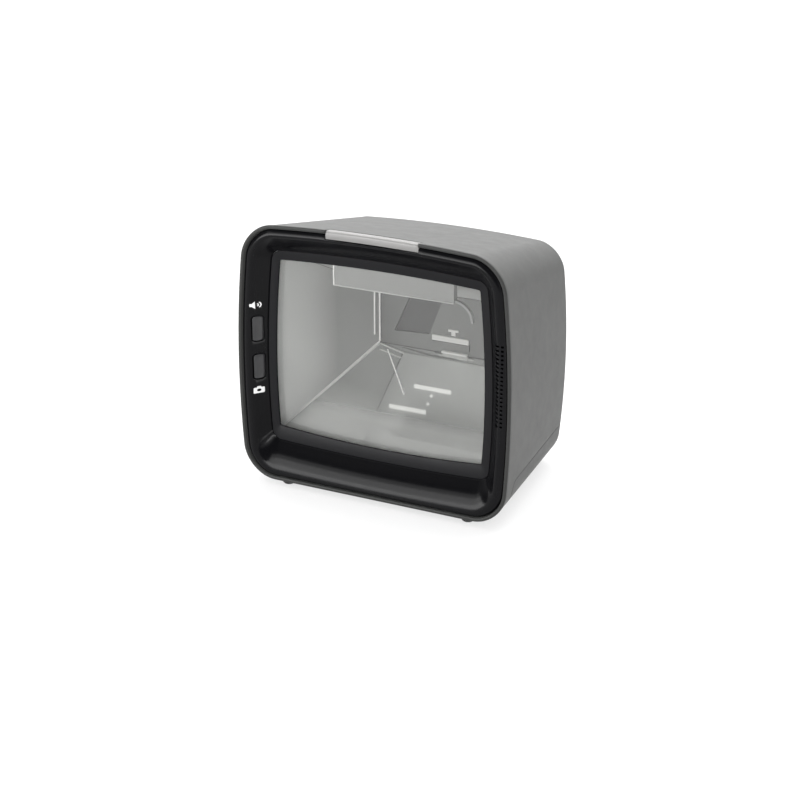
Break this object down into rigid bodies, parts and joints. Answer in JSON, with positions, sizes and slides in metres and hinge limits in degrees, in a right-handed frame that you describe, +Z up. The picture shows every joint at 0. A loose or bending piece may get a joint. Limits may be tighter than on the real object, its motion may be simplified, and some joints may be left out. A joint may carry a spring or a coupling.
{
  "type": "presentation barcode scanner",
  "caption": "Countertop imaging barcode scanner: tapered shell with a barrel-shaped front, recessed scan window, status light bar, side buttons and a speaker grille.",
  "frame": {"origin": "middle of the footprint's bounding box, at the plane the feet stand on", "axes": "+X to the right of someone facing the window (the width), +Y from the window to the rear (the depth), +Z up; the window faces -Y"},
  "size_m": [0.1518, 0.098, 0.1418],
  "materials": {
    "housing": "fine moulded texture",
    "cover": "fine moulded texture",
    "bezel": "gloss",
    "frame": "satin",
    "seal": "matte",
    "window": "clear, coated",
    "light_pipe": "milky, satin",
    "circuit_board": "solder mask",
    "led": "clear resin",
    "button": "satin",
    "plunger": "satin",
    "switch_metal": "stamped",
    "speaker_plastic": "matte",
    "cone": "paper cone",
    "magnet": "plated",
    "chassis": "matte",
    "mirror": "front-silvered",
    "light_panel": "satin",
    "filter": "tinted",
    "diffuser": "milky",
    "lens_plastic": "matte",
    "lens_glass": "coated",
    "sensor": "gloss",
    "shield": "tinned",
    "chip": "matte",
    "capacitor": "bright",
    "socket": "satin",
    "ribbon": "satin",
    "insert": "turned",
    "screw": "zinc plated",
    "foot": "matte"
  },
  "bodies": {
    "scanner": {"rear_housing": "housing", "bottom_cover": "cover", "front_bezel": "bezel", "window_frame": "frame", "window_seal": "seal", "scan_window": "window", "status_light_bar": "light_pipe", "status_led_board": "circuit_board", "status_leds": "led", "switch_bodies": "switch_metal", "switch_board": "circuit_board", "speaker_frame": "speaker_plastic", "speaker_cone": "cone", "speaker_magnet": "magnet", "speaker_seal": "seal", "optical_chassis": "chassis", "left_mirror": "mirror", "right_mirror": "mirror", "lower_mirror": "mirror", "ceiling_panel": "light_panel", "camera_panel": "light_panel", "camera_filter": "filter", "upper_light_rail": "light_panel", "light_diffusers": "diffuser", "illumination_board": "circuit_board", "illumination_leds": "led", "lens_holder": "lens_plastic", "lens_barrel": "lens_plastic", "camera_lens": "lens_glass", "imager_board": "circuit_board", "image_sensor": "sensor", "main_board": "circuit_board", "processor_shield": "shield", "board_chips": "chip", "board_capacitors": "capacitor", "host_socket": "socket", "aux_socket": "socket", "ribbon_cable": "ribbon", "mount_inserts": "insert", "cover_screws": "screw", "board_screws": "screw", "chassis_screws": "screw", "front_feet": "foot", "rear_feet": "foot"},
    "volume_key": {"volume_button": "button", "volume_switch_plunger": "plunger"},
    "snapshot_key": {"snapshot_button": "button", "snapshot_switch_plunger": "plunger"}
  },
  "joints": [
    {"name": "volume_press", "type": "slide", "parent": "scanner", "child": "volume_key", "axis": [0, 1, 0], "range_m": [0, 0.0006], "stiffness_N_per_m": 700},
    {"name": "snapshot_press", "type": "slide", "parent": "scanner", "child": "snapshot_key", "axis": [0, 1, 0], "range_m": [0, 0.0006], "stiffness_N_per_m": 700}
  ]
}
